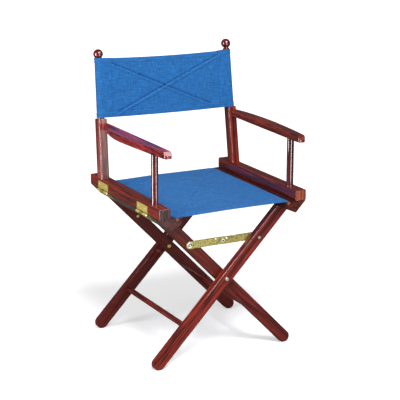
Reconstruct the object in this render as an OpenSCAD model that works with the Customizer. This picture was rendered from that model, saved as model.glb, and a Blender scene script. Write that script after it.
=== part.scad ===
// Folding chair with a crossed-leg frame, hinged arm frames and a slung canvas seat and back.
// Units are millimetres. X is the width, Y runs from the front to the back, Z is up.
// The origin is on the floor, under the middle of the open chair.

/* [Legs] */
// Angle of each leg from upright, open
leg_angle = 44; // [38:0.5:48]
// Width of a leg across its broad face
leg_w = 35; // [28:1:42]
// Thickness of a leg, front to back
leg_t = 20; // [16:1:26]
// Height of the crossing bolt
pivot_z = 236; // [210:1:260]
// Space between the two legs of a pair
leg_gap = 7; // [5:0.5:12]
// Front face of the foremost leg
front_y = -176; // [-190:1:-150]
// Distance from the front pair to the rear pair
pair_step = 354; // [300:1:380]
// Radius of the cross bars near the feet
bar_r = 8; // [6:0.5:10]
// How much of a rounded foot is worn flat
foot_flat = 0.6; // [0.3:0.1:3]
// Distance of the cross bars from the bolt, down the leg
bar_s = 176; // [120:1:185]

/* [Seat rails] */
// Front end of the rails
rail_y0 = -218; // [-240:1:-200]
// Rear end of the rails
rail_y1 = 230; // [200:1:250]
// Height of the top of the seat rail
seat_rail_top = 448; // [420:1:480]
// Half width over the seat rails
seat_rail_x = 231.5; // [200:0.5:260]
// Inner face of the seat rail
seat_rail_in = 166; // [150:1:190]
// Length of the slanted outer face
slant = 47; // [30:1:55]

/* [Arm frames] */
// Half width over the arm rails
arm_rail_x = 232; // [200:1:260]
// Width of an arm rail
arm_rail_w = 34; // [25:1:45]
// Height of the top of the arm rail
arm_rail_top = 478; // [450:1:510]
// Backward lean of the back posts
lean = 6.6; // [0:0.2:12]
// Inward lean of the back posts
cant = 1.3; // [0:0.1:4]
// Length of the thick part of a back post
post_l = 168; // [120:1:220]
// Height of the top of the armrest
arm_top = 637.5; // [600:1:680]
// Thickness of the armrest
arm_t = 18.5; // [14:0.5:26]
// Radius of the front spindle
spindle_r = 10; // [7:0.5:14]
// Radius of the ball on the back stick
ball_r = 14; // [10:0.5:18]

/* [Canvas] */
// Thickness of the canvas
cloth_t = 1.3; // [0.8:0.1:2]
// Dip of the seat in the middle
seat_dip = 1; // [0:0.5:20]
// Centre of the seat dowel, across
dowel_x = 176; // [172:0.5:185]
// Radius of the seat dowel
dowel_r = 4.5; // [3:0.5:6]
// Height of the back canvas
back_h = 171; // [140:1:200]

/* [Brass] */
// Length of a hinge
hinge_l = 62; // [40:1:80]
// Rear end of the front hinge
hinge_f = -84; // [-120:1:-40]
// Rear end of the rear hinge
hinge_r = 171; // [120:1:200]
// Distance of the brace ends from the crossing bolt
brace_s = 150; // [110:1:170]
// Height of a brace link
link_h = 22; // [14:1:28]

/* [Output] */
// Part to draw

/* [Hidden] */
$fn = 48;
sa = sin(leg_angle);
ca = cos(leg_angle);
b_y = front_y + leg_t + leg_gap;          // front face of the inner front leg
d_y = front_y + pair_step;                // front face of the inner rear leg
c_y = b_y + pair_step;                    // front face of the outer rear leg
brace_x = brace_s * sa;
brace_z = pivot_z + brace_s * ca;
dowel_z = seat_rail_top - 4.3;
sleeve_r = dowel_r + 0.1 + cloth_t;
tip_x = seat_rail_x - slant * sa;         // lowest corner of the seat rail
tip_z = seat_rail_top - slant * ca;
in_z = tip_z + 0.45 * (tip_x - seat_rail_in);
ease = 1.5;                               // corners of the seat rail planed off
arm_rail_z = seat_rail_top + 0.3;
arm_cx = arm_rail_x - arm_rail_w / 2;     // middle of the arm rail
post_x = arm_cx + 3;
post_y = 170;
post_w = 26;
post_d = 30;
stick_r = 10;
stick_l = 176;
sleeve_b = stick_r + 0.4;
cloth_z0 = post_l + 3;                    // along the post's own line
ball_z = post_l + 190;
spindle_y = -157;
nose_y = -231.3;
axis_x = arm_rail_x + 3.5;                // hinge pin
axis_z = seat_rail_top - 2.4;
knuckle_r = 3.4;
wood = [0.42, 0.09, 0.05];
wood_dark = [0.33, 0.07, 0.04];
blue = [0.16, 0.42, 0.75];
brass = [0.75, 0.62, 0.24];
steel = [0.75, 0.74, 0.70];

// ---- shared shapes ----
module rsec(a, b, r) {
  square([a - 2 * r, b], center = true);
  square([a, b - 2 * r], center = true);
  for (i = [-1, 1], j = [-1, 1]) translate([i * (a / 2 - r), j * (b / 2 - r)]) circle(r, $fn = 24);
}
module rod(r, y0, y1) {                   // along Y
  translate([0, y0, 0]) rotate([-90, 0, 0]) cylinder(r = r, h = y1 - y0);
}
module along_y(y0, y1) {                  // a flat shape drawn in X and Z, run along Y
  translate([0, y1, 0]) rotate([90, 0, 0]) linear_extrude(height = y1 - y0) children();
}
module leg_line(s) {                      // a point down or up a right-leaning leg
  translate([s * sa, 0, pivot_z + s * ca]) children();
}
module leg_frame() {                      // z runs up the leg, x across its broad face
  translate([0, 0, pivot_z]) rotate([0, leg_angle, 0]) children();
}
module lean_frame() {
  translate([0, post_y, arm_rail_top]) rotate([-lean, 0, 0]) children();
}
module post_frame() {
  lean_frame() translate([post_x, 0, 0]) rotate([0, -cant, 0]) children();
}
module swap() { mirror([1, 0, 0]) children(); }

// ---- legs ----
module leg(y0) {                          // leans to the right; y0 is its front face
  foot_r = leg_w / 2 - 0.15;
  foot_s = -(pivot_z - foot_r + foot_flat) / ca;
  top_s = 259.4;
  difference() {
    union() {
      leg_line(foot_s) translate([0, y0, 0]) rotate([-90, 0, 0]) {
        cylinder(r1 = foot_r - 2, r2 = foot_r, h = 2);
        translate([0, 0, 2]) cylinder(r = foot_r, h = leg_t - 4);
        translate([0, 0, leg_t - 2]) cylinder(r1 = foot_r, r2 = foot_r - 2, h = 2);
      }
      difference() {
        leg_frame() translate([0, y0 + leg_t / 2, foot_s]) linear_extrude(height = 620)
          rsec(leg_w, leg_t, 2.5);
        leg_top_cut();
      }
      leg_frame() translate([-9, y0 + 5, top_s - 12]) cube([18, leg_t - 10, 22]);
    }
    rod_at(0, pivot_z, 4.06, y0 - 1, y0 + leg_t + 1);
    translate([-400, y0 - 1, -20]) cube([800, leg_t + 2, 20]);
  }
}
module rod_at(x, z, r, y0, y1) { translate([x, 0, z]) rod(r, y0, y1); }
module leg_top_cut() {                    // everything above the underside of the seat rail
  translate([tip_x, rail_y0 - 5, tip_z]) rotate([0, atan(0.45), 0]) translate([-300, 0, 0])
    cube([600, rail_y1 - rail_y0 + 10, 300]);
}
module bar(y0, y1) {                      // round cross bar with a tenon at each end
  leg_line(-bar_s) {
    rod(bar_r, y0, y1);
    rod(bar_r - 2, y0 - 12, y1 + 12);
  }
}
module bar_hole(y0, y1) { leg_line(-bar_s) rod(bar_r - 1.95, y0, y1); }
module leg_front_outer() color(wood) difference() {
  leg(front_y);
  bar_hole(front_y + leg_t - 12.5, front_y + leg_t + 1);
  rod_at(brace_x, brace_z, 3.02, front_y - 1, front_y + leg_t + 1);
}
module leg_rear_outer() color(wood_dark) difference() {
  leg(c_y);
  bar_hole(c_y - 1, c_y + 12.5);
  rod_at(brace_x, brace_z, 3.02, c_y - 1, c_y + 15);
}
module leg_front_inner() color(wood) difference() {
  swap() leg(b_y);
  swap() bar_hole(b_y + leg_t - 12.5, b_y + leg_t + 1);
  rod_at(-brace_x, brace_z, 3.02, b_y - 1, b_y + 15);
}
module leg_rear_inner() color(wood_dark) difference() {
  swap() leg(d_y);
  swap() bar_hole(d_y - 1, d_y + 12.5);
  rod_at(-brace_x, brace_z, 3.02, d_y - 1, d_y + leg_t + 1);
}
module bar_outer() color(wood_dark) bar(front_y + leg_t, c_y);
module bar_inner() color(wood_dark) swap() bar(b_y + leg_t, d_y);

// ---- seat rails ----
module seat_rail(ya, yb) {                // ya and yb are the front faces of its two legs
  difference() {
    along_y(rail_y0, rail_y1) polygon([[seat_rail_x - ease, seat_rail_top],
      [seat_rail_x - ease * sa, seat_rail_top - ease * ca], [tip_x + ease * sa, tip_z + ease * ca],
      [tip_x - ease, tip_z + 0.45 * ease], [seat_rail_in + ease, in_z - 0.45 * ease],
      [seat_rail_in, in_z + ease], [seat_rail_in, seat_rail_top - 2], [seat_rail_in + 2, seat_rail_top]]);
    along_y(rail_y0 - 1, rail_y1 + 1) {
      translate([dowel_x, dowel_z]) circle(sleeve_r + 0.3);
      translate([dowel_x - sleeve_r - 0.3, dowel_z]) square([2 * sleeve_r + 0.6, 20]);
    }
    for (y = [ya, yb]) leg_frame() translate([-9.05, y + 4.95, 240])
      cube([18.1, leg_t - 9.9, 29.8]);
    for (y = [hinge_f, hinge_r], k = [-1, 1]) lower_screw_at(y, k) cylinder(r = 1.65, h = 12.4);
  }
}
module seat_rail_right() color(wood_dark) seat_rail(front_y, c_y);
module seat_rail_left() color(wood_dark) swap() seat_rail(b_y, d_y);
module seat_dowel() color(wood) rod_at(dowel_x, dowel_z, dowel_r, rail_y0 + 1, rail_y1 - 1);
module seat_dowel_right() seat_dowel();
module seat_dowel_left() swap() seat_dowel();

// ---- hinges: the axis runs along Y at axis_x, axis_z ----
ks = hinge_l / 3;
face_p = (seat_rail_x) * ca - (seat_rail_top - pivot_z) * sa;      // slanted face, across the leg
face_s = (seat_rail_x) * sa + (seat_rail_top - pivot_z) * ca;      // its top edge, up the leg
module knuckle(y0, y1) rod_at(axis_x, axis_z, knuckle_r, y0, y1);
module lower_leaf(y) {                    // y is the rear end of the hinge
  difference() {
    union() {
      leg_frame() translate([face_p, y - hinge_l, face_s - 36]) cube([2, hinge_l, 32]);
      leg_frame() translate([face_p, y - 2 * ks + 0.2, face_s - 5]) cube([2, ks - 0.4, 4.5]);
      knuckle(y - 2 * ks + 0.2, y - ks - 0.2);
    }
    rod_at(axis_x, axis_z, 1.56, y - hinge_l - 1, y + 1);
    for (k = [-1, 1]) lower_screw_at(y, k) {
      cylinder(r = 2.05, h = 6, center = true);
      translate([0, 0, -2.1]) cylinder(r1 = 3.6, r2 = 2.05, h = 1.6);
    }
  }
}
module lower_screw_at(y, k) {             // z points into the rail
  leg_frame() translate([face_p, y - hinge_l / 2 + k * 22, face_s - 24]) rotate([0, -90, 0]) children();
}
module upper_screw_at(y, k) {
  translate([arm_rail_x, y - hinge_l / 2 + k * 22, arm_rail_z + 15]) rotate([0, -90, 0]) children();
}
module upper_leaf(y) {
  difference() {
    union() {
      translate([arm_rail_x, y - hinge_l, axis_z + 6.6]) cube([2, hinge_l, 19]);
      for (y0 = [y - hinge_l, y - ks + 0.2]) {
        translate([arm_rail_x, y0, axis_z]) cube([2, ks - 0.2, 8]);
        knuckle(y0, y0 + ks - 0.2);
      }
    }
    rod_at(axis_x, axis_z, 1.52, y - hinge_l - 1, y + 1);
    for (k = [-1, 1]) upper_screw_at(y, k) {
      cylinder(r = 2.05, h = 6, center = true);
      translate([0, 0, -2.1]) cylinder(r1 = 3.6, r2 = 2.05, h = 1.6);
    }
  }
}
module screw() {                          // countersunk, head flush with the leaf
  difference() {
    union() {
      cylinder(r = 1.6, h = 12);
      translate([0, 0, -1.95]) cylinder(r1 = 3.4, r2 = 1.9, h = 1.5);
      translate([0, 0, -0.5]) cylinder(r = 1.9, h = 0.5);
    }
    translate([-4, -0.45, -3]) cube([8, 0.9, 1.5]);
  }
}
module hinge_lower_front_right() color(brass) lower_leaf(hinge_f);
module hinge_lower_rear_right() color(brass) lower_leaf(hinge_r);
module hinge_lower_front_left() color(brass) swap() lower_leaf(hinge_f);
module hinge_lower_rear_left() color(brass) swap() lower_leaf(hinge_r);
module hinge_upper_front_right() color(brass) upper_leaf(hinge_f);
module hinge_upper_rear_right() color(brass) upper_leaf(hinge_r);
module hinge_upper_front_left() color(brass) swap() upper_leaf(hinge_f);
module hinge_upper_rear_left() color(brass) swap() upper_leaf(hinge_r);
module pins() color(steel) for (y = [hinge_f, hinge_r]) rod_at(axis_x, axis_z, 1.5, y - hinge_l, y);
module hinge_pins_right() pins();
module hinge_pins_left() swap() pins();
module screws_lower() color(steel) for (y = [hinge_f, hinge_r], k = [-1, 1]) lower_screw_at(y, k) screw();
module screws_upper() color(steel) for (y = [hinge_f, hinge_r], k = [-1, 1]) upper_screw_at(y, k) screw();
module screws_lower_right() screws_lower();
module screws_lower_left() swap() screws_lower();
module screws_upper_right() screws_upper();
module screws_upper_left() swap() screws_upper();

// ---- arm frames ----
module arm_rail() color(wood) difference() {
  along_y(rail_y0, rail_y1) translate([arm_cx, (arm_rail_top + arm_rail_z) / 2])
    rsec(arm_rail_w, arm_rail_top - arm_rail_z, 2.5);
  post_frame() translate([-8.05, -9.05, -14.5]) cube([16.1, 18.1, 40]);
  translate([arm_cx, spindle_y, arm_rail_top - 12.5]) cylinder(r = 7.05, h = 20);
  for (y = [hinge_f, hinge_r], k = [-1, 1]) upper_screw_at(y, k) cylinder(r = 1.65, h = 12.4);
}
module post() color(wood) difference() {
  union() {
    difference() {
      post_frame() translate([0, 0, -20]) linear_extrude(height = post_l + 20) rsec(post_w, post_d, 3);
      translate([post_x - 60, post_y - 60, arm_rail_top - 60]) cube([120, 120, 60]);
    }
    post_frame() translate([-8, -9, -14]) cube([16, 18, 30]);
  }
  post_frame() translate([0, 0, post_l - 14.5]) cylinder(r = 8.05, h = 40);
  post_frame() translate([-6.05, -post_d / 2 - 1, arm_top - arm_rail_top - arm_t + 2.2])
    cube([12.1, 13.1, 10.1]);
}
module stick() color(wood) post_frame() {
  translate([0, 0, post_l - 14]) cylinder(r = 8, h = 30);
  translate([0, 0, post_l]) cylinder(r = stick_r, h = stick_l - 2);
  translate([0, 0, post_l + stick_l - 2]) cylinder(r1 = stick_r, r2 = stick_r - 2, h = 2);
  translate([0, 0, post_l + stick_l - 2]) cylinder(r = 4, h = 12);
}
module finial() color(wood) post_frame() difference() {
  union() {
    translate([0, 0, post_l + stick_l]) cylinder(r1 = 8, r2 = 6.5, h = 3);
    translate([0, 0, post_l + stick_l]) cylinder(r = 6.5, h = 10);
    translate([0, 0, ball_z]) sphere(r = ball_r);
  }
  translate([0, 0, post_l + stick_l - 1]) cylinder(r = 4.05, h = 11.5);
}
module spindle() color(wood) {
  translate([arm_cx, spindle_y, arm_rail_top]) cylinder(r = spindle_r, h = arm_top - arm_t - arm_rail_top);
  translate([arm_cx, spindle_y, arm_rail_top - 12]) cylinder(r = 7, h = arm_top - arm_t - arm_rail_top + 22);
}
module arm_side() {                       // side view: a bevelled nose
  polygon([[nose_y, arm_top - arm_t + 2], [nose_y + 2, arm_top - arm_t], [230, arm_top - arm_t],
    [230, arm_top], [nose_y + 10, arm_top], [nose_y, arm_top - 10]]);
}
module arm_plan() {                       // plan: straight inside, one long bow outside
  bow = 995;
  widest = 239.2;
  nose_in = 197.4;
  nose_out = 216.4;
  corner = 8;
  intersection() {
    difference() {
      translate([nose_in, nose_y]) square([60, 430]);
      translate([nose_in, nose_y]) rotate([0, 0, -1]) translate([-60, -10]) square([60, 460]);
    }
    translate([widest - bow, -19]) circle(bow, $fn = 720);
    union() {
      for (x = [nose_in + corner, nose_out - corner]) translate([x, nose_y + corner]) circle(corner);
      translate([nose_in + corner, nose_y]) square([nose_out - nose_in - 2 * corner, 2 * corner]);
      translate([nose_in - 4, nose_y + corner]) square([60, 430]);
    }
  }
}
module armrest() color(wood) difference() {
  union() {
    difference() {
      intersection() {
        translate([0, 0, arm_top - arm_t - 1]) linear_extrude(height = arm_t + 2) arm_plan();
        rotate([90, 0, 90]) linear_extrude(height = 300) arm_side();
      }
      post_frame() translate([-60, -post_d / 2, -50]) cube([120, 120, 400]);
    }
    post_frame() translate([-6, -post_d / 2 - 6, arm_top - arm_rail_top - arm_t + 2.25])
      cube([12, 18, 10]);
  }
  translate([arm_cx, spindle_y, arm_top - arm_t - 1]) cylinder(r = 7.05, h = 11.5);
}
module arm_rail_right() arm_rail();
module arm_rail_left() swap() arm_rail();
module back_post_right() post();
module back_post_left() swap() post();
module back_stick_right() stick();
module back_stick_left() swap() stick();
module finial_right() finial();
module finial_left() swap() finial();
module spindle_right() spindle();
module spindle_left() swap() spindle();
module armrest_right() armrest();
module armrest_left() swap() armrest();

// ---- crossing bolts ----
module bolt(y0, y1) {                     // from the front of one leg to the back of the other
  rod_at(0, pivot_z, 4, y0 - 2, y1 + 6);
  rod_at(0, pivot_z, 5.5, y0 - 2.8, y0 - 0.3);
  translate([0, y0 - 4, pivot_z]) rotate([-90, 0, 0]) cylinder(r1 = 3.5, r2 = 5.5, h = 1.2);
}
module nut(y1) color(brass) translate([0, y1 + 0.3, pivot_z]) rotate([-90, 0, 0]) difference() {
  union() {
    cylinder(r = 8, h = 1.2);
    cylinder(r = 7, h = 6, $fn = 6);
  }
  translate([0, 0, -1]) cylinder(r = 4.02, h = 9);
}
module spacer(y0) color(brass) translate([0, y0 + 0.3, pivot_z]) rotate([-90, 0, 0]) difference() {
  cylinder(r = 9, h = leg_gap - 0.6);
  translate([0, 0, -1]) cylinder(r = 4.02, h = leg_gap + 2);
}
module pivot_bolt_front() color(steel) bolt(front_y, b_y + leg_t);
module pivot_bolt_rear() color(brass) bolt(d_y, c_y + leg_t);
module pivot_nut_front() nut(b_y + leg_t);
module pivot_nut_rear() nut(c_y + leg_t);
module pivot_spacer_front() spacer(front_y + leg_t);
module pivot_spacer_rear() spacer(d_y + leg_t);

// ---- folding braces: link a turns on the rearward leg, link b on the middle rivet ----
module link(x0, x1, y0) along_y(y0, y0 + 2) difference() {
  union() {
    for (x = [x0, x1]) translate([x, brace_z]) circle(link_h / 2);
    translate([x0, brace_z - link_h / 2]) square([x1 - x0, link_h]);
  }
  for (x = [x0, x1]) translate([x, brace_z]) circle(3.06);
}
module brace_a() link(-brace_x, 0, b_y - 2.5);
module brace_b() link(0, brace_x, b_y - 4.8);
module brace_rivet() {                    // held by link a, flush at the back
  rod_at(0, brace_z, 3, b_y - 5.6, b_y - 0.5);
  rod_at(0, brace_z, 4.5, b_y - 6.1, b_y - 4.9);
}
module brace_stud() {                     // in the rearward leg
  rod_at(-brace_x, brace_z, 3, b_y - 4, b_y + 14);
  rod_at(-brace_x, brace_z, 6, b_y - 4.6, b_y - 2.7);
}
module brace_pin() {                      // held by link b
  rod_at(brace_x, brace_z, 3, b_y - 5.4, b_y - 2.8);
  rod_at(brace_x, brace_z, 5, b_y - 5.8, b_y - 4.8);
}
module brace_bolt() {                     // in the forward leg, flush at its back
  rod_at(brace_x, brace_z, 3, front_y - 1, front_y + leg_t);
  rod_at(brace_x, brace_z, 4, front_y - 2.2, front_y);
}
module rearward() translate([0, pair_step, 0]) swap() children();
module brace_link_a_front() color(brass) brace_a();
module brace_link_b_front() color(brass) brace_b();
module brace_rivet_front() color(steel) brace_rivet();
module brace_stud_front() color(steel) brace_stud();
module brace_pin_front() color(steel) brace_pin();
module brace_bolt_front() color(steel) brace_bolt();
module brace_link_a_rear() color(brass) rearward() brace_a();
module brace_link_b_rear() color(brass) rearward() brace_b();
module brace_rivet_rear() color(steel) rearward() brace_rivet();
module brace_stud_rear() color(steel) rearward() brace_stud();
module brace_pin_rear() color(steel) rearward() brace_pin();
module brace_bolt_rear() color(brass) rearward() brace_bolt();

// ---- canvas ----
function dip(x) = -seat_dip * (1 - pow(x / (dowel_x - 12), 2));
module seat_canvas() color(blue) {
  flat = dowel_x - 12;
  top = dowel_z + sleeve_r;
  xs = [for (i = [-8 : 8]) i * flat / 8];
  difference() {
    union() {
      for (m = [-1, 1]) rod_at(m * dowel_x, dowel_z, sleeve_r, rail_y0 + 4, rail_y1 - 6);
      along_y(rail_y0 + 4, rail_y1 - 6) polygon(concat([[2 - dowel_x, top - 0.5]],
        [for (x = xs) [x, top + dip(x)]], [[dowel_x - 2, top - 0.5], [dowel_x - 2, top - cloth_t]],
        [for (i = [16 : -1 : 0]) [xs[i], top - cloth_t + dip(xs[i])]],
        [[2 - dowel_x, top - cloth_t]]));
    }
    for (m = [-1, 1]) rod_at(m * dowel_x, dowel_z, dowel_r + 0.1, rail_y0, rail_y1);
  }
}
module back_canvas() color(blue) {
  r1 = sleeve_b + cloth_t;
  x0 = post_x - cloth_z0 * tan(cant);
  x1 = post_x - (cloth_z0 + back_h) * tan(cant);
  difference() {
    union() {
      for (m = [0, 1]) mirror([m, 0, 0]) lean_frame() translate([post_x, 0, 0]) rotate([0, -cant, 0])
        translate([0, 0, cloth_z0]) cylinder(r = r1, h = back_h);
      lean_frame() translate([0, -sleeve_b, cloth_z0]) rotate([90, 0, 0]) linear_extrude(height = cloth_t)
        polygon([[-x0, 0.3], [x0, 0.3], [x1, back_h - 0.3], [-x1, back_h - 0.3]]);
    }
    for (m = [0, 1]) mirror([m, 0, 0]) post_frame() cylinder(r = sleeve_b, h = 400);
  }
}

leg_front_outer();
leg_rear_outer();
bar_outer();
seat_rail_right();
seat_dowel_right();
hinge_lower_front_right();
hinge_lower_rear_right();
screws_lower_right();
leg_front_inner();
leg_rear_inner();
bar_inner();
seat_rail_left();
seat_dowel_left();
hinge_lower_front_left();
hinge_lower_rear_left();
screws_lower_left();
arm_rail_right();
back_post_right();
back_stick_right();
finial_right();
spindle_right();
armrest_right();
hinge_upper_front_right();
hinge_upper_rear_right();
hinge_pins_right();
screws_upper_right();
arm_rail_left();
back_post_left();
back_stick_left();
finial_left();
spindle_left();
armrest_left();
hinge_upper_front_left();
hinge_upper_rear_left();
hinge_pins_left();
screws_upper_left();
pivot_bolt_front();
pivot_bolt_rear();
pivot_spacer_front();
pivot_spacer_rear();
pivot_nut_front();
pivot_nut_rear();
brace_stud_front();
brace_bolt_front();
brace_link_a_front();
brace_rivet_front();
brace_link_b_front();
brace_pin_front();
brace_stud_rear();
brace_bolt_rear();
brace_link_a_rear();
brace_rivet_rear();
brace_link_b_rear();
brace_pin_rear();
seat_canvas();
back_canvas();
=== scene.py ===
# A folding armchair: two pairs of crossed legs turn on bolts, an arm frame is hinged to each seat
# rail, and blue canvas makes the seat and the back.
# Metres. X is the width, Y runs from the front to the back, Z is up, and the floor is Z = 0.
import math

import bmesh
import bpy
from mathutils import Euler, Matrix, Vector, noise


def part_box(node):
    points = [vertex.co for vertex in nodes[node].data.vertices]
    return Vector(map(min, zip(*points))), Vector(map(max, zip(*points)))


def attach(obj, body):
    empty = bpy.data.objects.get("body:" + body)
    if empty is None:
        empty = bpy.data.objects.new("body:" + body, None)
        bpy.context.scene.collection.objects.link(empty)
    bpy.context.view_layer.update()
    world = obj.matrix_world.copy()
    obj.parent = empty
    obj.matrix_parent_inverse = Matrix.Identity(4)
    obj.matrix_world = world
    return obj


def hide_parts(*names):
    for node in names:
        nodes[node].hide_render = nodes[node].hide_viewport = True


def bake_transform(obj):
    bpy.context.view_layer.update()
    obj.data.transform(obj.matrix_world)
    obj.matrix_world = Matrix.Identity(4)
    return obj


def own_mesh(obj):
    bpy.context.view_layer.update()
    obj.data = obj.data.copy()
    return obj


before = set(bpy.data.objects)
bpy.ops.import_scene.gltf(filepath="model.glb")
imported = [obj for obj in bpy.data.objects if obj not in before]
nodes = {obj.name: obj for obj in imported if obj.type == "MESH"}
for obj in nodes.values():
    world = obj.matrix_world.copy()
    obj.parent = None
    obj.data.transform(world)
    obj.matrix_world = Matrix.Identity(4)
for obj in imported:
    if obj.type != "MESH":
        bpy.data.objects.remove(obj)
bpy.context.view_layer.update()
scene = bpy.context.scene

# ---- Camera ----
# Stands ahead of the chair and to its left, above the seat, with a long lens.
camera = bpy.data.objects.new("camera", bpy.data.cameras.new("camera"))
camera.data.lens = 128.04
camera.data.sensor_width = 36
camera.data.clip_end = 100
aim = Euler((math.radians(90 - 15.45), 0, math.radians(-28.46))).to_matrix()
camera.rotation_euler = (aim @ Matrix.Rotation(math.radians(0.17), 3, "Z")).to_euler()
camera.location = (-1.8782, -3.4824, 1.5175)
scene.collection.objects.link(camera)
scene.camera = camera

# ---- Floor and light ----
# A wide white studio floor and a soft even sky, both kept dim in the varnish's reflections. Two large
# lights shine from above and from the left. The others are seen only in the varnish and the brass.
floor_half = 30.0
floor_dimness = 0.45  # how far the floor is dimmed in the light that it throws back on the chair
sky_bright, sky_in_varnish = 0.50, 0.06


def new_object(bm, name, *materials, smooth=True):
    """Turns a shape into an object of that name, made of the given materials."""
    for face in bm.faces:
        face.smooth = smooth
    mesh = bpy.data.meshes.new(name)
    bm.to_mesh(mesh)
    bm.free()
    for material in materials:
        mesh.materials.append(material)
    obj = bpy.data.objects.new(name, mesh)
    scene.collection.objects.link(obj)
    return obj


def fill(node, **values):
    """Sets a node's inputs and choices. In an input's name an underscore stands for a space."""
    for key, value in values.items():
        if key.replace("_", " ") in node.inputs:
            node.inputs[key.replace("_", " ")].default_value = value
        else:
            setattr(node, key, value)
    return node


def new_material(name):
    """A material, its shader, and short ways to add a node and to join two of them."""
    mat = bpy.data.materials.new(name)
    mat.use_nodes = True
    tree = mat.node_tree

    def add(kind, **values):
        return fill(tree.nodes.new(kind), **values)

    def join(a, out, b, into):
        tree.links.new(a.outputs[out], b.inputs[into])

    return mat, tree.nodes["Principled BSDF"], add, join


floor_white, white, add, join = new_material("floor_white")
fill(white, Base_Color=(0.86, 0.86, 0.86, 1), Roughness=0.9, Specular_IOR_Level=0.1,
     Emission_Color=(1, 1, 1, 1))
here = add("ShaderNodeTexCoord")
distance = add("ShaderNodeVectorMath", operation="LENGTH")
join(here, "Object", distance, 0)
glow = add("ShaderNodeMapRange", From_Min=0.5, From_Max=4.0, To_Min=0.25, To_Max=0.90)
join(distance, "Value", glow, "Value")
join(glow, "Result", white, "Emission Strength")
ray = add("ShaderNodeLightPath")
dim = add("ShaderNodeBsdfDiffuse", Color=(0.10, 0.09, 0.09, 1))
share = add("ShaderNodeMath", operation="MULTIPLY_ADD", use_clamp=True)
share.inputs[1].default_value = floor_dimness
join(ray, "Is Diffuse Ray", share, 0)
join(ray, "Is Glossy Ray", share, 2)
mix = add("ShaderNodeMixShader")
join(share, "Value", mix, 0)
join(white, "BSDF", mix, 1)
join(dim, "BSDF", mix, 2)
join(mix, "Shader", floor_white.node_tree.nodes["Material Output"], "Surface")
bm = bmesh.new()
bmesh.ops.create_grid(bm, x_segments=1, y_segments=1, size=floor_half)
new_object(bm, "floor", floor_white, smooth=False)

sky = bpy.data.worlds.new("sky")
sky.use_nodes = True
background = fill(sky.node_tree.nodes["Background"], Color=(1, 1, 1, 1))
sky_ray = sky.node_tree.nodes.new("ShaderNodeLightPath")
sky_strength = fill(sky.node_tree.nodes.new("ShaderNodeMath"), operation="MULTIPLY_ADD")
sky_strength.inputs[1].default_value = sky_in_varnish - sky_bright
sky_strength.inputs[2].default_value = sky_bright
sky.node_tree.links.new(sky_ray.outputs["Is Glossy Ray"], sky_strength.inputs[0])
sky.node_tree.links.new(sky_strength.outputs["Value"], background.inputs["Strength"])
scene.world = sky
scene.view_settings.view_transform = "Standard"


def lamp(name, place, aim_at, width, height, watts, lights_up=True):
    """A rectangular lamp. With lights_up off it is only seen in glossy surfaces."""
    data = bpy.data.lights.new(name, "AREA")
    data.shape = "RECTANGLE"
    data.size, data.size_y = width, height
    data.energy = watts
    obj = bpy.data.objects.new(name, data)
    obj.location = place
    obj.rotation_euler = (Vector(aim_at) - Vector(place)).to_track_quat("-Z", "Y").to_euler()
    obj.visible_camera = False
    obj.visible_diffuse = lights_up
    scene.collection.objects.link(obj)


lamp("key_light", (-0.5, -2.5, 3.3), (0, 0, 0.4), 1.3, 1.3, 165)
lamp("fill_light", (-3.2, -0.2, 1.9), (0, 0, 0.4), 1.2, 1.2, 55)
lamp("strip_left", (-1.5, 0.02, 0.58), (0, 0, 0.58), 0.45, 1.1, 42, lights_up=False)
lamp("strip_front", (0.21, -1.38, 0.58), (0.1, 0, 0.58), 0.20, 1.1, 24, lights_up=False)
lamp("soft_front", (0.56, -1.38, 0.86), (0.1, 0, 0.86), 0.34, 0.9, 1.5, lights_up=False)
lamp("top_glint", (0.35, -0.8, 1.9), (-0.1, 0, 0.75), 0.8, 0.8, 30, lights_up=False)

# ---- Legs ----
# Four flat legs of mahogany, stained red and varnished, with rounded edges and rounded feet. Each is
# one straight board, so its grain runs from the foot to the seat rail.


def add_ramp(add, *stops):
    """A colour ramp. Each stop has a place and a colour, the two outer ones first."""
    node = add("ShaderNodeValToRGB")
    elements = node.color_ramp.elements
    for i, (place, colour) in enumerate(stops):
        stop = elements[i] if i < 2 else elements.new(place)
        stop.position = place
        stop.color = (*colour, 1)
    return node


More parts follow.
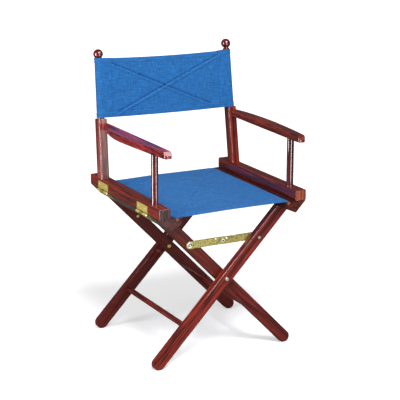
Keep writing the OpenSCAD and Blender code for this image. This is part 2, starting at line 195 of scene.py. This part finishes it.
def mahogany(name, lean=(0, 0, 0), seed=0.0, dark=(0.045, 0.0075, 0.0060), mid=(0.112, 0.0130, 0.0100),
             streak=(0.27, 0.028, 0.016), bright=0.60, gloss=0.22, coat=1.0):
    """Red stained and varnished wood, its grain along Z once turned back by lean."""
    mat, shader, add, join = new_material(name)
    fill(shader, IOR=1.45, Specular_IOR_Level=0.08, Coat_Weight=coat, Coat_Roughness=0.06, Coat_IOR=1.5)
    coords = add("ShaderNodeTexCoord")
    along = add("ShaderNodeMapping", vector_type="TEXTURE", Location=(seed, seed * 1.7, seed * 0.6),
                Rotation=lean, Scale=(1, 1, 30))
    join(coords, "Object", along, "Vector")
    rings = add("ShaderNodeTexWave", wave_type="BANDS", bands_direction="DIAGONAL", Scale=44.0,
                Distortion=10.0, Detail=3.0, Detail_Scale=1.6)
    join(along, "Vector", rings, "Vector")
    figure = add("ShaderNodeTexNoise", Scale=140.0, Detail=4.0, Roughness=0.65)
    join(along, "Vector", figure, "Vector")
    fibres = add("ShaderNodeTexNoise", Scale=380.0, Detail=4.0, Roughness=0.6)
    join(along, "Vector", fibres, "Vector")
    pores = add("ShaderNodeTexNoise", Scale=1300.0, Detail=2.0, Roughness=0.5)
    join(along, "Vector", pores, "Vector")
    broad = add("ShaderNodeMath", operation="MULTIPLY_ADD")
    broad.inputs[1].default_value = 0.22
    join(rings, "Fac", broad, 0)
    tone = add("ShaderNodeMath", operation="MULTIPLY")
    tone.inputs[1].default_value = 0.78
    join(figure, "Fac", tone, 0)
    join(tone, "Value", broad, 2)
    grain = add("ShaderNodeMath", operation="MULTIPLY_ADD")
    grain.inputs[1].default_value = 0.55
    join(fibres, "Fac", grain, 0)
    part = add("ShaderNodeMath", operation="MULTIPLY")
    part.inputs[1].default_value = 0.48
    join(broad, "Value", part, 0)
    join(part, "Value", grain, 2)
    grain_dark = 0.42
    ramp = add_ramp(add, (grain_dark, dark), (bright, streak), ((grain_dark + bright) / 2, mid))
    join(grain, "Value", ramp, "Fac")
    fleck = add("ShaderNodeMix", data_type="RGBA", blend_type="MULTIPLY")
    fleck.inputs[0].default_value = 0.45
    specks = add_ramp(add, (0.36, (0.25, 0.22, 0.22)), (0.5, (1, 1, 1)))
    join(pores, "Fac", specks, "Fac")
    join(ramp, "Color", fleck, 6)
    join(specks, "Color", fleck, 7)
    join(fleck, 2, shader, "Base Color")
    rough = add("ShaderNodeMapRange", To_Min=gloss + 0.14, To_Max=gloss)
    join(figure, "Fac", rough, "Value")
    join(rough, "Result", shader, "Roughness")
    bump = add("ShaderNodeBump", Strength=0.16, Distance=0.0004)
    join(pores, "Fac", bump, "Height")
    join(bump, "Normal", shader, "Normal")
    return mat


def dress(material, *names):
    for name in names:
        for slot in nodes[name].material_slots:
            slot.material = material


leg_lean = math.radians(44)
dress(mahogany("leg_wood_1", (0, leg_lean, 0), 0.13, bright=0.58), "leg_front_outer")
dress(mahogany("leg_wood_2", (0, -leg_lean, 0), 0.57, streak=(0.17, 0.020, 0.013)), "leg_front_inner")
dress(mahogany("leg_wood_3", (0, -leg_lean, 0), 0.91, streak=(0.14, 0.019, 0.013)), "leg_rear_inner")
dress(mahogany("leg_wood_4", (0, leg_lean, 0), 1.37, streak=(0.16, 0.020, 0.013)), "leg_rear_outer")

# ---- Cross bars, seat dowels, front spindles, back sticks and ball tops ----
# Turned rods of the same wood, with the deepest gloss on the chair. The bars and dowels lie from the
# front to the back, and the spindles and sticks stand.
lie = (math.radians(90), 0, 0)
dress(mahogany("bar_wood", lie, 0.31, bright=0.62, gloss=0.16), "bar_outer", "bar_inner")
dress(mahogany("dowel_wood", lie, 0.77, mid=(0.22, 0.045, 0.016), streak=(0.42, 0.10, 0.03), gloss=0.18),
      "seat_dowel_left", "seat_dowel_right")
dress(mahogany("spindle_wood", (0, 0, 0), 0.45, dark=(0.028, 0.006, 0.006), mid=(0.085, 0.009, 0.008),
               streak=(0.17, 0.016, 0.012), gloss=0.12), "spindle_left", "spindle_right",
      "back_stick_left", "back_stick_right", "finial_left", "finial_right")

# ---- Seat rails ----
# Heavy rails with a slanted outer face, grooved along the top for the dowel that holds the canvas.
dress(mahogany("seat_rail_wood", lie, 0.21, dark=(0.022, 0.006, 0.005), mid=(0.046, 0.010, 0.008),
               streak=(0.11, 0.017, 0.011)),
      "seat_rail_left", "seat_rail_right")

# ---- Arm rails ----
# A straight rail with eased edges rests on each seat rail and carries the post and the spindle. The
# grain shows as upright streaks on its sawn ends, palest on the right one.


def end_grain(name, pale):
    return mahogany(name, (0, 0, 0), 0.83, dark=tuple(c * 0.3 for c in pale), mid=pale,
                    streak=tuple(c * 1.7 for c in pale), gloss=0.3)


def to_piece(bm, name, body, replaced, materials, ease=0.0):
    """Turns a shape into a finished wooden piece with eased edges, in place of a node."""
    bmesh.ops.recalc_face_normals(bm, faces=bm.faces)
    obj = new_object(bm, name, *materials)
    if ease:
        bevel = obj.modifiers.new("eased_edges", "BEVEL")
        bevel.width, bevel.segments = ease, 3
        bevel.limit_method, bevel.angle_limit = "ANGLE", math.radians(30)
    weigh = obj.modifiers.new("flat_faces_flat", "WEIGHTED_NORMAL")
    weigh.keep_sharp = True
    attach(obj, body)
    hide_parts(*replaced)
    return obj


def block(bm, low, high):
    """A box between two corners."""
    low, high = Vector(low), Vector(high)
    size = Matrix.Diagonal((*(high - low), 1))
    return bmesh.ops.create_cube(bm, size=1, matrix=Matrix.Translation((low + high) / 2) @ size)


def round_edges(bm, edges, radius, segments):
    bmesh.ops.bevel(bm, geom=edges, offset=radius, offset_type="OFFSET", segments=segments,
                    profile=0.5, affect="EDGES", material=-1, clamp_overlap=True)


arm_rail_grain = {
    1: mahogany("arm_rail_wood_right", lie, 0.36, bright=0.62),
    -1: mahogany("arm_rail_wood_left", lie, 0.68, bright=0.57),
}
rail_end = {
    1: end_grain("rail_end_pale", (0.26, 0.060, 0.028)),
    -1: end_grain("rail_end_dark", (0.050, 0.014, 0.012)),
}
for side, word in ((1, "right"), (-1, "left")):
    low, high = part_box("arm_rail_" + word)
    bm = bmesh.new()
    block(bm, low, high)
    long_edges = [e for e in bm.edges if abs(e.verts[0].co.y - e.verts[1].co.y) > 0.1]
    round_edges(bm, long_edges, 0.0025, 4)
    for face in bm.faces:
        if abs(face.normal.y) > 0.9:
            face.material_index = 1
    to_piece(bm, "arm_rail_piece_" + word, word + "_arm", ["arm_rail_" + word],
             [arm_rail_grain[side], rail_end[side]], ease=0.0012)

# ---- Back posts ----
# A stout square post stands on each arm rail, leaning back and a little inwards, with its top cut
# square to take the round stick.
back_lean = math.radians(6.6)
inward = math.radians(1.3)
post_top = {1: 0.168, -1: 0.172}
back_frame = Matrix.Translation((0, 0.170, 0.478)) @ Matrix.Rotation(-back_lean, 4, "X")


def cut_off(bm, place, direction):
    """Cuts away all that lies beyond a plane and closes the cut."""
    cut = bmesh.ops.bisect_plane(bm, geom=bm.verts[:] + bm.edges[:] + bm.faces[:], plane_co=place,
                                 plane_no=direction, clear_outer=True)
    bmesh.ops.edgenet_fill(bm, edges=[e for e in cut["geom_cut"] if isinstance(e, bmesh.types.BMEdge)])


for side, word in ((1, "right"), (-1, "left")):
    stand = back_frame @ Matrix.Translation((side * 0.218, 0, 0)) @ Matrix.Rotation(-side * inward, 4, "Y")
    bm = bmesh.new()
    block(bm, (-0.013, -0.015, -0.03), (0.013, 0.015, post_top[side]))
    long_edges = [e for e in bm.edges if abs(e.verts[0].co.z - e.verts[1].co.z) > 0.1]
    round_edges(bm, long_edges, 0.003, 4)
    bmesh.ops.transform(bm, matrix=stand, verts=bm.verts)
    cut_off(bm, (0, 0, 0.4745), (0, 0, -1))
    # The left post's paler, pinkish salmon tones are painted reflected light, not a different wood.
    painted_light_shades = {} if side > 0 else {"dark": (0.075, 0.012, 0.010), "mid": (0.19, 0.034, 0.028),
                                  "streak": (0.40, 0.10, 0.085)}
    grain = mahogany("post_wood_" + word, (-back_lean, -side * inward, 0), 0.5 + 0.3 * side, **painted_light_shades)
    to_piece(bm, "back_post_piece_" + word, word + "_arm", ["back_post_" + word], [grain], ease=0.001)

# ---- Armrests ----
# A flat board, nearly straight inside and bowed outside, drawn in sharply to the post. The nose is
# bevelled on top with rounded corners. It is tenoned to the post and drilled for the spindle.
arm_low, arm_high = 0.619, 0.6375
nose = -0.2313
outer_edge = {
    1: [(-0.2313, 0.2180), (-0.165, 0.2262), (-0.095, 0.2328), (-0.03, 0.2370), (0.03, 0.2378),
        (0.09, 0.2360), (0.135, 0.2320), (0.165, 0.2270), (0.19, 0.2230)],
    -1: [(-0.2313, 0.2205), (-0.165, 0.2272), (-0.095, 0.2330), (-0.03, 0.2375), (0.03, 0.2394),
         (0.085, 0.2335), (0.125, 0.2245), (0.160, 0.2150), (0.19, 0.2120)],
}
inner_edge = {1: (0.1966, 0.0290), -1: (0.1985, 0.0040)}  # at the nose, and its slope
nose_corner, nose_bevel = 0.007, 0.010


def edge_at(y, places):
    """A smooth curve through a few measured places along the board."""
    i = min(len(places) - 2, max(0, sum(y > p[0] for p in places) - 1))
    a, b = places[i], places[i + 1]
    before, after = places[max(0, i - 1)], places[min(len(places) - 1, i + 2)]
    span = b[0] - a[0]
    rise_a = (b[1] - before[1]) / (b[0] - before[0]) * span
    rise_b = (after[1] - a[1]) / (after[0] - a[0]) * span
    t = min(1.0, max(0.0, (y - a[0]) / span))
    return ((2 * t**3 - 3 * t**2 + 1) * a[1] + (t**3 - 2 * t**2 + t) * rise_a
            + (3 * t**2 - 2 * t**3) * b[1] + (t**3 - t**2) * rise_b)


for side, word in ((1, "right"), (-1, "left")):
    bm = bmesh.new()
    block(bm, (0, nose, arm_low), (1, 0.186, arm_high))
    long_edges = [e for e in bm.edges if abs(e.verts[0].co.y - e.verts[1].co.y) > 0.1]
    bmesh.ops.subdivide_edges(bm, edges=long_edges, cuts=40, use_grid_fill=True)
    start, slope = inner_edge[side]
    for v in bm.verts:
        inner = start + slope * (v.co.y - nose)
        v.co.x = inner + v.co.x * (edge_at(v.co.y, outer_edge[side]) - inner)
    nose_edges = [e for e in bm.edges if max(v.co.y for v in e.verts) < nose + 1e-5]
    corners = [e for e in nose_edges if abs(e.verts[0].co.z - e.verts[1].co.z) > 0.01]
    round_edges(bm, corners, nose_corner, 6)
    cut_off(bm, (0, nose, arm_high - nose_bevel), (0, -1, 1))
    cut_off(bm, back_frame @ Vector((0, -0.0146, 0)), back_frame.to_3x3() @ Vector((0, 1, 0)))
    if side < 0:
        bmesh.ops.scale(bm, vec=(-1, 1, 1), verts=bm.verts)
    # The left armrest's brighter, slightly magenta tones are a painted reflection; it also has a thinner
    # coat.
    painted_reflection_and_coat = {} if side > 0 else {"mid": (0.17, 0.017, 0.018), "streak": (0.40, 0.040, 0.038), "coat": 0.5}
    grain = mahogany("armrest_wood_" + word, lie, 0.4 + 0.2 * side, **painted_reflection_and_coat)
    to_piece(bm, "armrest_piece_" + word, word + "_arm", ["armrest_" + word], [grain], ease=0.0020)

# ---- Hinges ----
# Pressed brass butt hinges, two to a side, gone yellow-green and blotched, with bright steel screws and
# pin heads. A near-black strip along the crease where each upper leaf curls round the pin is painted shadow.


def brass(name, clean=(0.80, 0.70, 0.22), dull=(0.30, 0.27, 0.09), rough=0.34, blotch=260.0, metal=0.85):
    """Worn metal, clean and shiny in some patches and dull and rough in the others."""
    mat, shader, add, join = new_material(name)
    fill(shader, Metallic=metal)
    coords = add("ShaderNodeTexCoord")
    patches = add("ShaderNodeTexNoise", Scale=blotch, Detail=5, Roughness=0.7)
    join(coords, "Object", patches, "Vector")
    ramp = add_ramp(add, (0.36, dull), (0.60, clean))
    join(patches, "Fac", ramp, "Fac")
    join(ramp, "Color", shader, "Base Color")
    scuffs = add("ShaderNodeMapRange", To_Min=rough + 0.2, To_Max=rough - 0.08)
    join(patches, "Fac", scuffs, "Value")
    join(scuffs, "Result", shader, "Roughness")
    bump = add("ShaderNodeBump", Strength=0.25, Distance=0.0003)
    join(patches, "Fac", bump, "Height")
    join(bump, "Normal", shader, "Normal")
    return mat


# The lower leaves and their knuckles take a darker copy of the same brass, which is painted shade.
leaf_brass_painted_shade = brass("leaf_brass_painted_shade", clean=(0.42, 0.34, 0.09), dull=(0.10, 0.08, 0.03), blotch=330.0, metal=0.4)
hinge_brass = brass("hinge_brass", clean=(0.80, 0.66, 0.15), dull=(0.26, 0.20, 0.05), blotch=330.0, metal=0.4)
dress(hinge_brass, *[n for n in nodes if n.startswith("hinge_upper")])
dress(leaf_brass_painted_shade, *[n for n in nodes if n.startswith("hinge_lower")])
screw_steel = brass("screw_steel", clean=(0.95, 0.94, 0.90), dull=(0.60, 0.59, 0.56), rough=0.25, metal=0.6)
dress(screw_steel, *[n for n in nodes if n.startswith("screws") or n.startswith("hinge_pins")])
# A near-black material for painted shade: thin strips and discs laid where shadow falls.
painted_shade_dark, painted_shade_shader, add, join = new_material("painted_shade_dark")
fill(painted_shade_shader, Base_Color=(0.018, 0.013, 0.008, 1), Roughness=0.5)

knuckle_x, knuckle_z = 0.2355, 0.4456
pin_head = 0.0026
shadow_strip_x, shadow_strip_low, shadow_strip_high, shadow_strip_half = 0.2339, 0.0040, 0.0062, 0.0002
for side, word in ((1, "right"), (-1, "left")):
    leaves = [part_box("hinge_upper_" + place + "_" + word) for place in ("front", "rear")]
    bm = bmesh.new()
    for low, high in leaves:
        for y in (low[1], high[1]):
            bmesh.ops.create_uvsphere(bm, u_segments=16, v_segments=8, radius=pin_head,
                                      matrix=Matrix.Translation((side * knuckle_x, y, knuckle_z)))
    heads = new_object(bm, "hinge_pin_heads_" + word, screw_steel)
    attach(heads, word + "_arm")
    # Painted shadow: a thin near-black strip along each crease under the upper leaf's curl.
    bm = bmesh.new()
    for low, high in leaves:
        block(bm, (side * shadow_strip_x - shadow_strip_half, low[1] + 0.001, knuckle_z + shadow_strip_low),
              (side * shadow_strip_x + shadow_strip_half, high[1] - 0.001, knuckle_z + shadow_strip_high))
    shadow_strips = new_object(bm, "hinge_crease_shadows_" + word, painted_shade_dark, smooth=False)
    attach(shadow_strips, word + "_arm")

# ---- Crossing bolts ----
# A bolt with a small domed head, bright in front and brass behind, joins each pair of legs over a
# brass spacer, with a nut at the back.
dress(hinge_brass, *[n for n in nodes if n.startswith("pivot_")])
bolt_steel = brass("bolt_steel", clean=(0.62, 0.60, 0.56), dull=(0.22, 0.21, 0.19), rough=0.28, metal=0.7)
dress(bolt_steel, "pivot_bolt_front")

# ---- Folding braces ----
# Two flat brass links across each pair of legs lock the chair open. They turn on hollow steel rivets,
# and each link has a small flush rivet in its upper half. The brass has gone speckled and dull.
dress(brass("brace_brass", clean=(0.36, 0.31, 0.075), dull=(0.040, 0.042, 0.018), blotch=250.0, rough=0.42,
            metal=0.6),
      *[n for n in nodes if n.startswith("brace_link")])
small_parts = ("brace_stud", "brace_bolt", "brace_rivet", "brace_pin")
dress(screw_steel, *[n for n in nodes if n.startswith(small_parts)])
dress(bolt_steel, "brace_bolt_front")
dress(hinge_brass, "brace_bolt_rear")


def turned(name, body, place, profile, material):
    """A small turned head facing the front: profile lists radius and how far forward, from the middle."""
    bm = bmesh.new()
    ring = [bm.verts.new((place[0] + r, place[1] - forward, place[2])) for r, forward in profile]
    edges = [bm.edges.new(pair) for pair in zip(ring, ring[1:])]
    bmesh.ops.spin(bm, geom=ring + edges, cent=place, axis=(0, 1, 0), dvec=(0, 0, 0),
                   angle=2 * math.pi, steps=32, use_merge=True)
    bmesh.ops.remove_doubles(bm, verts=bm.verts, dist=1e-6)
    bmesh.ops.recalc_face_normals(bm, faces=bm.faces)
    obj = new_object(bm, name, material)
    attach(obj, body)


def front_middle(node):
    """The middle of a node's front face."""
    low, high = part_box(node)
    return (low[0] + high[0]) / 2, low[1], (low[2] + high[2]) / 2


groove_shade_profile = [(0.0026, 0), (0.0026, 0.00025), (0.0056, 0.00025), (0.0056, 0)]
washer_profile = [(0.0062, 0), (0.0062, 0.0006), (0.0079, 0.0006), (0.0083, 0)]
hollow_shade_profile = [(0, 0.0002), (0.0027, 0.0002), (0.0027, 0)]
stop_profile = [(0, 0.00022), (0.0024, 0.00022), (0.0027, 0)]
stop_places = (("a", -0.0215, 0.0060), ("b", 0.0115, 0.0045))  # across and up from the middle rivet
for where, stud_body, sign in (("front", "inner_frame", 1), ("rear", "outer_frame", -1)):
    head = front_middle("brace_stud_" + where)
    rivet = front_middle("brace_rivet_" + where)
    face_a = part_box("brace_link_a_" + where)[0][1]
    # Painted shade: a near-black flat ring round each stud head stands for the shadow in its groove.
    turned("stud_groove_shade_" + where, stud_body, head, groove_shade_profile, painted_shade_dark)
    turned("stud_washer_" + where, where + "_link_a", (head[0], face_a, head[2]), washer_profile,
           screw_steel)
    # Painted shade: a near-black flat disc on each middle rivet stands for the dark inside its hollow.
    turned("rivet_hollow_shade_" + where, where + "_link_a", rivet, hollow_shade_profile, painted_shade_dark)
    for link, across, up in stop_places:
        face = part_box("brace_link_" + link + "_" + where)[0][1]
        turned("stop_rivet_" + link + "_" + where, where + "_link_" + link,
               (rivet[0] + sign * across, face, rivet[2] + up), stop_profile, screw_steel)

# ---- Back canvas ----
# A strip of blue cotton canvas folded round both sticks and sewn down behind to make two sleeves,
# hemmed along the top and bottom, and drawn in along two crossed seams. The panel between the sleeves
# is a piece of its own, so that each sleeve stays round its stick when the chair folds.


def canvas(name, tone=(0.012, 0.136, 0.410)):
    """Plain-woven cotton: one thread over, one under, read from the cloth's own flat map in metres."""
    mat, shader, add, join = new_material(name)
    fill(shader, Roughness=0.85, Specular_IOR_Level=0.12, Sheen_Weight=0.10, Sheen_Roughness=0.5,
         Sheen_Tint=(0.45, 0.68, 1, 1))
    flat = add("ShaderNodeUVMap", uv_map="cloth")
    across, down = [add("ShaderNodeTexWave", wave_type="BANDS", bands_direction=way, Scale=190.0,
                        Distortion=0.6, Detail=1.0) for way in ("X", "Y")]
    join(flat, "UV", across, "Vector")
    join(flat, "UV", down, "Vector")
    weave = add("ShaderNodeMath", operation="MULTIPLY")
    join(across, "Fac", weave, 0)
    join(down, "Fac", weave, 1)
    warp = add("ShaderNodeMapping", Scale=(430, 40, 1))
    weft = add("ShaderNodeMapping", Scale=(30, 400, 1))
    join(flat, "UV", warp, "Vector")
    join(flat, "UV", weft, "Vector")
    slub_a = add("ShaderNodeTexNoise", Scale=1.0, Detail=3.0)
    slub_b = add("ShaderNodeTexNoise", Scale=1.0, Detail=3.0)
    join(warp, "Vector", slub_a, "Vector")
    join(weft, "Vector", slub_b, "Vector")
    slubs = add("ShaderNodeMath", operation="ADD")
    join(slub_a, "Fac", slubs, 0)
    join(slub_b, "Fac", slubs, 1)
    mottle = add("ShaderNodeTexNoise", Scale=420.0, Detail=3.0, Roughness=0.6)
    join(flat, "UV", mottle, "Vector")
    shade = add("ShaderNodeMath", operation="MULTIPLY_ADD")
    shade.inputs[1].default_value = 0.36
    join(slubs, "Value", shade, 0)
    tone_part = add("ShaderNodeMath", operation="MULTIPLY")
    tone_part.inputs[1].default_value = 0.28
    join(mottle, "Fac", tone_part, 0)
    join(tone_part, "Value", shade, 2)
    ramp = add_ramp(add, (0.40, [c * 0.60 for c in tone]), (0.60, [c * 1.38 for c in tone]))
    join(shade, "Value", ramp, "Fac")
    threads = add("ShaderNodeMix", data_type="RGBA", blend_type="MULTIPLY")
    threads.inputs[0].default_value = 0.35
    join(ramp, "Color", threads, 6)
    join(weave, "Value", threads, 7)
    join(threads, 2, shader, "Base Color")
    bump = add("ShaderNodeBump", Strength=0.35, Distance=0.0004)
    join(weave, "Value", bump, "Height")
    join(bump, "Normal", shader, "Normal")
    return mat


def smooth_step(t):
    t = min(1.0, max(0.0, t))
    return t * t * (3 - 2 * t)


def off_line(p, a, b):
    """Distance of a point from a seam between two points, on the flat cloth."""
    along = (b - a).normalized()
    t = min((b - a).length, max(0.0, (p - a).dot(along)))
    return (p - (a + along * t)).length


def below_line(p, a, b):
    """How far a point lies under the line of a seam, on the flat cloth; above it is negative."""
    along = (b - a).normalized()
    under = (p - a).x * along.y - (p - a).y * along.x
    return under if along.x > 0 else -under


def sewn_line(distance, width):
    """How deep the cloth is drawn in beside a seam, from 1 on it to 0."""
    return math.exp(-((distance / width) ** 2))


canvas_blue = canvas("canvas_blue")
thread_blue, thread_shader, add, join = new_material("sewing_thread")
fill(thread_shader, Roughness=0.6)
thread_twist = add("ShaderNodeTexNoise", Scale=900)
thread_tone = add_ramp(add, (0, (0.010, 0.060, 0.26)), (1, (0.030, 0.150, 0.50)))
join(thread_twist, "Fac", thread_tone, "Fac")
join(thread_tone, "Color", thread_shader, "Base Color")

cloth_half = 0.00065  # half the thickness of the canvas
sleeve = 0.01105  # radius of the sleeve to the middle of the cloth
sleeve_seam = 0.0362  # from the stick's middle to the seam that closes the sleeve
back_hem = 0.0150
back_height = 0.171  # in the middle
hem_step, hem_dip = 0.0007, 0.0008  # how far a hem stands out, and how deep its stitches pull in
cross_dip, cross_ridge = 0.0036, 0.0020  # the furrow along the crossed seams, and the fold under it


def stick_at(h):
    return 0.218 - h * math.tan(inward)


def back_bottom(x):
    return 0.1695 - 0.016 * x + 0.0022 * (x / 0.21) ** 2


def back_top(x):
    return 0.3383 - 0.0175 * x + 0.0048 * (x / 0.21) ** 2


seam_back = 0.0054  # how far the sewn-down end lies behind the panel
touch = math.atan2(seam_back - sleeve, -sleeve_seam)
reach = math.hypot(sleeve_seam, seam_back - sleeve)
leave_angle = touch + 2 * math.pi - math.acos(sleeve / reach)
wrap = sleeve * (leave_angle + math.pi / 2)
tail = math.sqrt(reach**2 - sleeve**2)
flap = 0.0002
nominal = stick_at(0.255)
half_strip = nominal + wrap + tail + flap
panel_half = 0.192  # where the panel ends and the sleeves begin, either side of the middle
join_gap = 0.00005  # keeps panel and sleeve from touching


def back_section(w, h):
    """Where the cloth is across the sticks: w runs over it from the middle. Gives x, y and the normal."""
    side, w = (1 if w >= 0 else -1), abs(w)
    a = stick_at(h)
    if w < panel_half:
        x, y, nx, ny = w, -sleeve, 0.0, -1.0
    elif w < nominal:
        x = panel_half + (w - panel_half) * (a - panel_half) / (nominal - panel_half)
        y, nx, ny = -sleeve, 0.0, -1.0
    elif w < nominal + wrap:
        angle = -math.pi / 2 + (w - nominal) / sleeve
        nx, ny = math.cos(angle), math.sin(angle)
        x, y = a + sleeve * nx, sleeve * ny
    else:
        nx, ny = math.cos(leave_angle), math.sin(leave_angle)
        d = min(tail, w - nominal - wrap)
        x, y = a + sleeve * nx - ny * d, sleeve * ny + nx * d
        if w > nominal + wrap + tail:
            x -= w - nominal - wrap - tail
            nx, ny = 0.0, 1.0
    return side * x, y, side * nx, ny


back_cross = [
    (Vector((-0.171, 0.3270)), Vector((0.1374, 0.1860))),
    (Vector((0.1680, 0.3250)), Vector((-0.1590, 0.1880))),
]


def back_point(w, k, lift=0.0):
    """A point of the back, k from the bottom edge to the top, moved off its mid surface by lift."""
    x, y, nx, ny = back_section(w, 0.255)
    h = back_bottom(x) + (back_top(x) - back_bottom(x)) * k
    x, y, nx, ny = back_section(w, h)
    front = abs(w) < nominal + 0.002
    edge = min(h - back_bottom(x), back_top(x) - h)
    relief = hem_step * (1 - smooth_step((edge - back_hem) / 0.002))
    relief -= hem_dip * sewn_line(edge - back_hem, 0.0016)
    if front:
        spot = Vector((x, h))
        seam_x = stick_at(h) - sleeve_seam
        inside = smooth_step((seam_x - abs(x)) / 0.03)
        for a, b in back_cross:
            on_seam = sewn_line(max(0.0, off_line(spot, a, b) - abs(below_line(spot, a, b))), 0.004)
            relief -= cross_dip * on_seam * sewn_line(below_line(spot, a, b), 0.0028)
            relief += cross_ridge * on_seam * sewn_line(below_line(spot, a, b) - 0.0056, 0.0030)
        relief -= 0.0018 * sewn_line(abs(x) - seam_x, 0.0024)
        relief += 0.0008 * smooth_step((abs(x) - seam_x) / 0.004)
        pull = noise.noise(Vector((x * 9, h * 70, 1.5))) * (1 - 0.7 * inside)
        relief += 0.0007 * pull + 0.0009 * noise.noise(Vector((x * 16, h * 22, 4.0))) * inside
    return back_frame @ Vector((x + nx * (relief + lift), y + ny * (relief + lift), h))


def weave_sheet(name, columns, rows, start, end, length, point):
    """A strip of cloth from a flat grid, laid by point(w, k), with its flat map kept in metres."""
    bm = bmesh.new()
    bmesh.ops.create_grid(bm, x_segments=columns, y_segments=rows, size=0.5)
    flat_map = bm.loops.layers.uv.new("cloth")
    for face in bm.faces:
        for loop in face.loops:
            loop[flat_map].uv = (start + (loop.vert.co.x + 0.5) * (end - start), loop.vert.co.y * length)
    for v in bm.verts:
        v.co = point(start + (v.co.x + 0.5) * (end - start), v.co.y + 0.5)
    return new_object(bm, name, canvas_blue)


def thicken(obj, thickness):
    """Gives the strip its thickness, both ways from the middle, and keeps it in the mesh."""
    shell = obj.modifiers.new("thickness", "SOLIDIFY")
    shell.thickness, shell.offset = thickness, 0
    obj.data = bpy.data.meshes.new_from_object(obj.evaluated_get(bpy.context.evaluated_depsgraph_get()))
    obj.modifiers.clear()
    obj.data.set_sharp_from_angle(angle=math.radians(55))


def stitches(name, runs, pitch=0.0034, length=0.0012, thick=0.00028):
    """Rows of short threads along seams: each run gives a point at a share of its length."""
    bm = bmesh.new()
    for place, span in runs:
        count = int(span / pitch)
        for i in range(count):
            here, ahead = place((i + 0.5) / count), place((i + 0.9) / count)
            if (ahead - here).length < 1e-7:
                continue
            turn = (ahead - here).to_track_quat("X", "Z").to_matrix().to_4x4()
            shape = Matrix.Diagonal((length, thick, thick, 1))
            bmesh.ops.create_icosphere(bm, subdivisions=1, radius=1,
                                       matrix=Matrix.Translation(here) @ turn @ shape)
    return new_object(bm, name, thread_blue)


back = weave_sheet("back_panel", 290, 124, -panel_half, panel_half, back_height, back_point)
thicken(back, 2 * cloth_half)
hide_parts("back_canvas")


def back_run(start, end, lift=0.00075):
    """A seam on the face of the back between two points given as x and height."""
    def place(t):
        x, h = start[0] + (end[0] - start[0]) * t, start[1] + (end[1] - start[1]) * t
        k = (h - back_bottom(x)) / (back_top(x) - back_bottom(x))
        return back_point(x, k, lift)
    return place, math.dist(start, end)


hem_reach = panel_half - 0.0014


def back_hem_run(top, shift):
    def place(t):
        x = (2 * t - 1) * hem_reach
        h = back_top(x) - shift if top else back_bottom(x) + shift
        k = (h - back_bottom(x)) / (back_top(x) - back_bottom(x))
        return back_point(x, k, 0.00075)
    return place, 2 * hem_reach


back_runs = [back_run(tuple(a), tuple(b)) for a, b in back_cross]
for side in (-1, 1):
    back_runs.append(back_run((side * (stick_at(0.178) - sleeve_seam), 0.178),
                              (side * (stick_at(0.335) - sleeve_seam), 0.335)))
back_runs += [back_hem_run(True, back_hem), back_hem_run(False, back_hem)]
back_thread = stitches("back_stitching", back_runs)

for piece in (back, back_thread):
    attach(piece, "right_arm")
    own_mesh(piece)
for side, word in ((1, "right"), (-1, "left")):
    near, far = side * (panel_half + join_gap), side * half_strip
    sleeve_cloth = weave_sheet("back_sleeve_" + word, 80, 124, min(near, far), max(near, far),
                               back_height, back_point)
    thicken(sleeve_cloth, 2 * cloth_half)
    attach(sleeve_cloth, word + "_arm")
    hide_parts("back_canvas")

# ---- Seat canvas ----
# A wider strip of the same canvas. Each side wraps a dowel that is pressed into the groove of its
# rail, the front and rear edges are hemmed, and two crossed seams stiffen the middle.
seat_front, seat_rear = -0.214, 0.224
seat_hem = 0.022
dowel_x, dowel_z = 0.176, 0.4437
loop = 0.00525  # radius of the turn round a dowel, to the middle of the cloth
seat_dip = 0.0012
turn_round = loop * math.radians(270)
half_seat = dowel_x + turn_round + 0.003
seat_cross = [
    (Vector((-0.166, seat_front + 0.010)), Vector((0.166, seat_rear - 0.010))),
    (Vector((0.166, seat_front + 0.010)), Vector((-0.166, seat_rear - 0.010))),
]


def seat_point(w, k, lift=0.0):
    side, d = (1 if w >= 0 else -1), abs(w)
    y = seat_front + (seat_rear - seat_front) * k
    if d < dowel_x:
        x, z, nx, nz = d, dowel_z + loop, 0.0, 1.0
        z += seat_dip * (1 - smooth_step(d / (dowel_x - 0.012))) * (1 - 2 * math.sin(math.pi * k))
    elif d < dowel_x + turn_round:
        angle = math.pi / 2 - (d - dowel_x) / loop
        nx, nz = math.cos(angle), math.sin(angle)
        x, z = dowel_x + loop * nx, dowel_z + loop * nz
    else:
        nx, nz = -1.0, 0.0
        x, z = dowel_x - loop, dowel_z + (d - dowel_x - turn_round)
    edge = min(y - seat_front, seat_rear - y)
    relief = 0.0
    if d < dowel_x - 0.008:
        spot = Vector((side * d, y))
        relief += 0.0006 * (1 - smooth_step((edge - seat_hem) / 0.002))
        relief -= 0.0007 * sewn_line(edge - seat_hem, 0.0018)
        for a, b in seat_cross:
            relief -= 0.0018 * sewn_line(off_line(spot, a, b), 0.0032)
        relief += 0.0008 * noise.noise(Vector((side * d * 12, y * 14, 7.0)))
        relief *= smooth_step((dowel_x - 0.008 - d) / 0.006)
    return Vector((side * (x + nx * (relief + lift)), y, z + nz * (relief + lift)))


seat = weave_sheet("seat_cloth", 236, 200, -half_seat, half_seat, seat_rear - seat_front, seat_point)
thicken(seat, 2 * cloth_half)


def seat_run(start, end, lift=0.00075):
    def place(t):
        x, y = start[0] + (end[0] - start[0]) * t, start[1] + (end[1] - start[1]) * t
        return seat_point(x, (y - seat_front) / (seat_rear - seat_front), lift)
    return place, math.dist(start, end)


seat_runs = [seat_run(tuple(a), tuple(b)) for a, b in seat_cross]
for y in (seat_front + seat_hem, seat_rear - seat_hem):
    seat_runs.append(seat_run((-0.174, y), (0.174, y)))
for side in (-1, 1):
    seat_runs.append(seat_run((side * 0.162, seat_front + 0.004), (side * 0.162, seat_rear - 0.004)))
seat_thread = stitches("seat_stitching", seat_runs)
for piece in (seat, seat_thread):
    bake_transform(piece)
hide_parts("seat_canvas")
